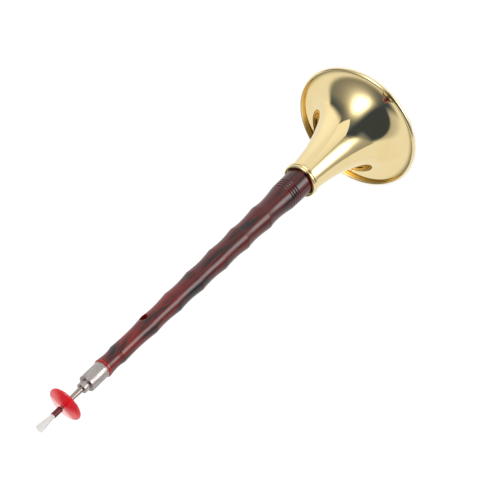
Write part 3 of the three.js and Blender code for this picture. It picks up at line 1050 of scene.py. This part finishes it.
@dataclass
class Reed:
    """The reed: one tube pressed flat into two blades, held round at its foot by a shrunk sleeve."""

    foot: float = 373.15
    length: float = 21.85
    wall: float = 0.35
    bore: float = 1.347
    tip_half_width: float = 3.02
    tip_half_gap: float = 0.31
    tip_rounding: float = 0.9
    corner_power: float = 4.0
    lens: float = 0.8
    turn: float = math.radians(-61.5)
    sleeve_length: float = 7.2
    sleeve_wall: float = 0.45
    sleeve_edge: float = 0.25
    sleeve_ease: float = 0.22
    gap: float = 0.05
    segments: int = 72
    sleeve_segments: int = 64

    def build(self) -> Piece:
        """The blades.

        A round section turns into a lens by a smooth step from the sleeve to the tip: across, the
        cosine times a width that grows, and through, the sine to a growing power times a thickness
        that shrinks. The tip's corners drop by the fourth power of the place across.

        Returns:
            The piece, in place.
        """
        held, blade = np.linspace(0, self.sleeve_length, 6), np.linspace(self.sleeve_length, self.length, 44)
        rise = np.r_[held, blade[1:]]
        angle = np.arange(self.segments) * 2 * np.pi / self.segments
        outer_radius = self.bore + self.wall

        def shell(height: np.ndarray, inset: float) -> np.ndarray:
            """One face of the tube, moved in by inset.

            Args:
                height: heights above the reed's foot.
                inset: how far the face is inside the outer one.

            Returns:
                Its points, a row round the tube for each height.
            """
            t = np.clip((height - self.sleeve_length) / (self.length - self.sleeve_length), 0, 1)[:, None]
            press = t * t * (3 - 2 * t)
            width = lerp(outer_radius, self.tip_half_width, press) - inset
            thick = lerp(outer_radius, self.tip_half_gap + self.wall, press) - inset
            across = width * np.cos(angle)
            through = thick * np.sign(np.sin(angle)) * np.abs(np.sin(angle)) ** (1 + press * self.lens)
            drop = press * self.tip_rounding * (across / self.tip_half_width) ** self.corner_power
            up = self.foot + height[:, None] - drop
            cosine, sine = math.cos(self.turn), math.sin(self.turn)
            return np.stack([across * cosine - through * sine, across * sine + through * cosine, up], -1)

        points = np.concatenate([shell(rise, 0.0), shell(rise[-1:], self.wall / 2), shell(rise[::-1], self.wall)])
        return make_piece("reed_blades", points, grid_faces(*points.shape[:2]))

    def build_sleeve(self) -> Piece:
        """The sleeve: shrunk tubing with soft ends.

        Returns:
            The piece, in place.
        """
        inner = self.bore + self.wall + self.gap
        outer = inner + self.sleeve_wall
        z, top = self.foot - self.sleeve_edge, self.foot + self.sleeve_length
        ease = self.sleeve_ease
        outline = eased([(inner, z, 0.1), (outer, z, ease), (outer, top, ease), (inner, top, 0.1)], 8)
        return lathe("reed_sleeve_tube", outline, self.sleeve_segments)

    def dress(self) -> None:
        """Builds the reed and its sleeve and gives them their plastics."""
        settle(self.build(), REED_PLASTIC, Body.REED, "reed")
        settle(self.build_sleeve(), MAROON_TUBE, Body.REED, "reed_sleeve")


def settle(piece: Piece, finish: Finish, body: Body, node: str) -> None:
    """Dresses a piece and hands it to the frame.

    Args:
        piece: the piece, in place.
        finish: what it is made of.
        body: the body that it moves with.
        node: the CAD node that it stands for.
    """
    finish.dress(piece)
    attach(piece, body.value)
    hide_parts(node)
    LOG.info("%s: %d faces, stands for %s", piece.name, len(piece.data.polygons), node)


# ---------------------------------------------------------------- studio


def heading(azimuth: float, elevation: float = 0.0) -> np.ndarray:
    """A unit direction from degrees: (cos e cos a, cos e sin a, sin e)."""
    a, e = math.radians(azimuth), math.radians(elevation)
    return np.array([math.cos(e) * math.cos(a), math.cos(e) * math.sin(a), math.sin(e)])


def plane(first: tuple[float, float], second: tuple[float, float]) -> np.ndarray:
    """The upper side of the plane through the eye and two directions given as (azimuth, elevation)."""
    side = np.cross(heading(*first), heading(*second))
    return side / np.linalg.norm(side)


# Directions that several of the room's shapes share: up, to the left wall, and away from the tent's far end
UP = np.array([0.0, 0.0, 1.0])
LEFT = heading(-133)
FAR = np.array([0.573, 0.745, 0.341])


@dataclass
class Room(Wiring):
    """The room as mirrored rays see it: a brightness for each direction, from a few soft shapes.

    Places are azimuths and elevations in degrees, and a soft edge's low and high are sines of angles off its
    plane. The methods that take a level lay their shape over it and return the new level, the nearest ones last.
    """

    curtain_level: float = 0.06
    tent_level: float = 0.14
    end_level: float = 0.96
    grey_level: float = 0.38
    tail_level: float = 0.3
    tail_share: float = 0.9
    line_share: float = 0.75

    def __post_init__(self) -> None:
        """The direction that a ray leaves in."""
        self.way = self.add("TexCoord", out="Generated")

    def along(self, direction: np.ndarray) -> Socket:
        """How far a ray points along a direction: their dot product."""
        return self.add("VectorMath", self.way, tuple(direction), operation="DOT_PRODUCT")

    def edge(self, side: np.ndarray, low: float, high: float, start: float = 0.0, end: float = 1.0) -> Socket:
        """A soft edge: a smooth step, from low to high, of how far a ray points along the edge's side."""
        return self.add("MapRange", self.along(side), low, high, start, end, **SMOOTH)

    def past(self, azimuth: float, soft: float) -> Socket:
        """1 for rays that point past an azimuth, by up to half a turn, and 0 before it."""
        return self.edge(heading(azimuth + 90), -soft, soft)

    def product(self, total: object, *values: object) -> Socket:
        """All the values multiplied together.

        Args:
            total: the first value.
            values: the others.

        Returns:
            The product.
        """
        for value in values:
            total = self.add("Math", total, value, operation="MULTIPLY")
        return total

    def off_box(self, azimuth: float, elevation: float, wide: float, tall: float) -> Socket:
        """How far a ray is from a soft box's middle, as a share of its half-size: an ellipse's radius.

        Args:
            azimuth: the middle's azimuth in degrees.
            elevation: the middle's elevation in degrees.
            wide: half-width in degrees.
            tall: half-height in degrees.

        Returns:
            0 in the middle and 1 on the ellipse, and large behind.
        """
        middle = heading(azimuth, elevation)
        side = np.cross(UP, middle)
        side /= np.linalg.norm(side)
        ahead = self.add("Math", self.along(middle), 0.05, operation="MAXIMUM")
        squares = []
        for axis, half in ((side, wide), (np.cross(middle, side), tall)):
            share = self.add("Math", self.along(axis / math.tan(math.radians(half))), ahead, operation="DIVIDE")
            squares.append(self.product(share, share))
        return self.add("Math", self.add("Math", *squares, operation="ADD"), operation="SQRT")

    def glow(self, distance: Socket, peak: float, size: float, power: float) -> Socket:
        """A soft box's fall-off: peak over one plus (distance / size) to a power."""
        ratio = self.add("Math", self.add("Math", distance, size, operation="DIVIDE"), power, operation="POWER")
        return self.add("Math", peak, self.add("Math", ratio, 1.0, operation="ADD"), operation="DIVIDE")

    def tent(self) -> Socket:
        """The big soft box high on the right, the tent that it lights, and the dark curtain to its left.

        Returns:
            The brightness of these three.
        """
        box = self.glow(self.off_box(66.5, 40, wide=12.5, tall=19), peak=6.0, size=0.8, power=2.2)
        lit = self.add("Math", box, self.tent_level, operation="ADD")
        crown, foot = self.edge(UP, 0.93, 1.0, 1.0, 0.65), self.edge(UP, 0.04, 0.42, 0.24, 1.0)
        open_side = self.edge(heading(125), -0.1, 0.26)
        return self.add("Math", self.product(lit, crown, foot, open_side), self.curtain_level, operation="ADD")

    def wall(self, level: Socket) -> Socket:
        """The white wall on the left, whose edge leans back from the curtain.

        Args:
            level: the brightness so far.

        Returns:
            The brightness with the shape laid over it.
        """
        leaning = self.edge(plane((143, 0), (170, 55)), 0.15, -0.15)
        near = self.product(self.edge(LEFT, -0.09, 0.03), self.edge(heading(-60), 0.05, 0.25))
        share = self.add("Math", leaning, near, operation="MAXIMUM")
        return self.add("Mix", share, level, self.edge(LEFT, -0.15, 0.65, 0.5, 0.97))

    def far_end(self) -> Socket:
        """1 at the tent's white end behind the horn."""
        return self.edge(FAR, 0.08, -0.1)

    def back(self, level: Socket) -> Socket:
        """The tent's end, a gap in it high up, and a bright panel under the gap.

        Args:
            level: the brightness so far.

        Returns:
            The brightness with the shape laid over it.
        """
        level = self.add("Mix", self.far_end(), level, self.end_level)
        for box, outer, inner, factor in (((-151, 45, 16, 18), 1.5, 0.4, 0.1), ((-151, 5, 9, 9), 1.3, 0.7, 2.4)):
            inside = self.add("MapRange", self.off_box(*box), outer, inner, **SMOOTH)
            level = self.product(level, self.add("MapRange", inside, 0, 1, 1, factor, **SMOOTH))
        return level

    def low_box(self, level: Socket) -> Socket:
        """The small soft box low in front, the grey board behind it, and the board's tail to the right.

        Args:
            level: the brightness so far.

        Returns:
            The brightness with the shape laid over it.
        """
        tail = self.product(self.edge(LEFT, 0.04, -0.02), self.edge(UP, 0.19, 0.03), self.past(4, -0.2))
        level = self.add("Mix", self.product(tail, self.tail_share), level, self.tail_level)
        box = self.glow(self.off_box(1, -26, wide=16, tall=26), peak=5.0, size=0.85, power=4.0)
        lit = self.product(box, self.edge(UP, -0.17, -0.27, 0.65, 1.0))
        brow = self.edge(plane((-40, 5), (32, -6)), 0.06, -0.06)
        share = self.product(self.edge(LEFT, 0.04, -0.02), brow, self.past(55, -0.02))
        return self.add("Mix", share, level, self.add("Math", lit, self.grey_level, operation="ADD"))

    def card(self, level: Socket) -> Socket:
        """The white card to the right of the low box, with a top like a low gable.

        Args:
            level: the brightness so far.

        Returns:
            The brightness with the shape laid over it.
        """
        left, ridge, right = (38, -3), (61, 7), (84, -6)
        gable = [self.edge(plane(*run), 0.008, -0.008) for run in ((left, ridge), (ridge, right))]
        share = self.product(self.past(34, 0.015), *gable, self.past(95, -0.03))
        return self.add("Mix", share, level, self.edge(heading(70), 0.75, 1.0, 0.92, 1.08))

    def table(self, level: Socket) -> Socket:
        """The white table on the right, with a thin darker line along its near edge.

        Args:
            level: the brightness so far.

        Returns:
            The brightness with the shape laid over it.
        """
        brink = plane((67, -27), (81, -7))
        share = self.product(self.edge(brink, 0.006, 0.0), self.edge(UP, 0.05, 0.02))
        tone = self.add("Mix", self.far_end(), self.edge(UP, 0.03, -0.1, 0.2, 1.0), 1.0)
        shine = self.edge(heading(123), 0.7, 1.0, 0.96, 1.14)
        level = self.add("Mix", share, level, self.product(tone, shine))
        line = self.product(share, self.edge(brink, -0.02, -0.006))
        return self.add("Mix", line, level, self.product(level, self.line_share))

    def paint(self) -> Socket:
        """The brightness that a mirrored ray sees, from the far shapes to the near ones.

        Returns:
            The brightness.
        """
        level = self.tent()
        for lay_over in (self.wall, self.back, self.low_box, self.card, self.table):
            level = lay_over(level)
        return level


@dataclass
class Studio:
    """White walls, a white floor, two soft boxes and a dark curtain, as shiny things mirror them."""

    camera_place: tuple[float, float, float] = (678.3, 368.3, 705.2)
    camera_azimuth: float = -150.606
    camera_elevation: float = -34.787
    camera_roll: float = -134.074
    lens: float = 87.34
    sensor: float = 36.0
    clip: tuple[float, float] = (0.05, 50.0)
    fill: float = 0.8
    key: float = 0.75
    key_angle: float = math.radians(50)
    key_place: tuple[float, float] = (68, 50)
    floor_half: float = 3000.0
    floor_drop: float = 0.3
    paper: float = 0.75
    paper_glow: float = 0.36
    curtain_tint: tuple[float, ...] = (0.84, 1.09, 1.6, 1)

    def build_camera(self) -> None:
        """The camera: it looks along its azimuth and elevation, rolled about that line."""
        forward = heading(self.camera_azimuth, self.camera_elevation)
        level = np.cross(forward, UP)
        level /= np.linalg.norm(level)
        above = np.cross(level, forward)
        roll = math.radians(self.camera_roll)
        right = math.cos(roll) * level + math.sin(roll) * above
        data = bpy.data.cameras.new("camera")
        data.lens, data.sensor_width = self.lens, self.sensor
        data.clip_start, data.clip_end = self.clip
        camera = bpy.data.objects.new("camera", data)
        place = Matrix(np.stack([right, np.cross(right, forward), -forward], 1).tolist()).to_4x4()
        place.translation = Vector(self.camera_place) * METRES
        camera.matrix_world = place
        bpy.context.scene.collection.objects.link(camera)
        bpy.context.scene.camera = camera

    def build_floor(self) -> None:
        """A plain white floor that takes the shadow and isn't mirrored in the metal."""
        corners = np.array([[-1, -1, 0], [1, -1, 0], [1, 1, 0], [-1, 1, 0]]) * self.floor_half
        floor = make_piece("floor", corners - [0, 0, self.floor_drop], np.array([[0, 1, 2, 3]]))
        material = bpy.data.materials.new("white_paper")
        wiring = Wiring.on(material)
        paper = wiring.add("BsdfDiffuse", (self.paper, self.paper, self.paper, 1))
        nothing, glow = (wiring.add("Emission", Strength=strength) for strength in (0.0, self.paper_glow))
        light = wiring.add("MixShader", wiring.add("LightPath", out="Is Camera Ray"), nothing, glow)
        wiring.add("OutputMaterial", wiring.add("AddShader", paper, light))
        floor.data.materials.append(material)
        floor.visible_glossy = False

    def build_lamp(self) -> None:
        """One broad, soft lamp high on the right; the world's painting shows its mirror image."""
        data = bpy.data.lights.new("key", "SUN")
        data.energy, data.angle = self.key, self.key_angle
        lamp = bpy.data.objects.new("key", data)
        lamp.rotation_mode = "QUATERNION"
        lamp.rotation_quaternion = Vector(heading(*self.key_place)).to_track_quat("Z", "Y")
        lamp.visible_glossy = False
        bpy.context.scene.collection.objects.link(lamp)

    def build_world(self) -> None:
        """Plain light for all but mirrored rays, which see the painted room with its dark parts a cool grey."""
        world = bpy.data.worlds.new("studio")
        bpy.context.scene.world = world
        room = Room.on(world)
        rays = room.add("LightPath").node.outputs
        plain = room.add("Mix", rays["Is Camera Ray"], self.fill, 1.0)
        clear = room.add("Math", rays["Is Transmission Ray"], plain, operation="MAXIMUM")
        level = room.add("Mix", rays["Is Glossy Ray"], clear, room.paint())
        dim = room.product(rays["Is Glossy Ray"], room.add("MapRange", level, 0.3, 0.06, **SMOOTH))
        tint = room.add("Mix", dim, (1, 1, 1, 1), self.curtain_tint, data_type="RGBA")
        room.add("OutputWorld", room.add("Background", tint, level))

    def build(self) -> None:
        """Camera, floor, lamp and world, and the plain view transform."""
        self.build_camera()
        self.build_floor()
        self.build_lamp()
        self.build_world()
        bpy.context.scene.view_settings.view_transform = "Standard"


def main() -> None:
    """Builds the studio and the suona, from the bell to the reed."""
    logging.basicConfig(level=logging.INFO, format="%(message)s")
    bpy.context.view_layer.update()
    Studio().build()
    for part in (Bell(), Pipe(), Core(), LipDisc(), Reed()):
        part.dress()


if __name__ == "__main__":
    main()
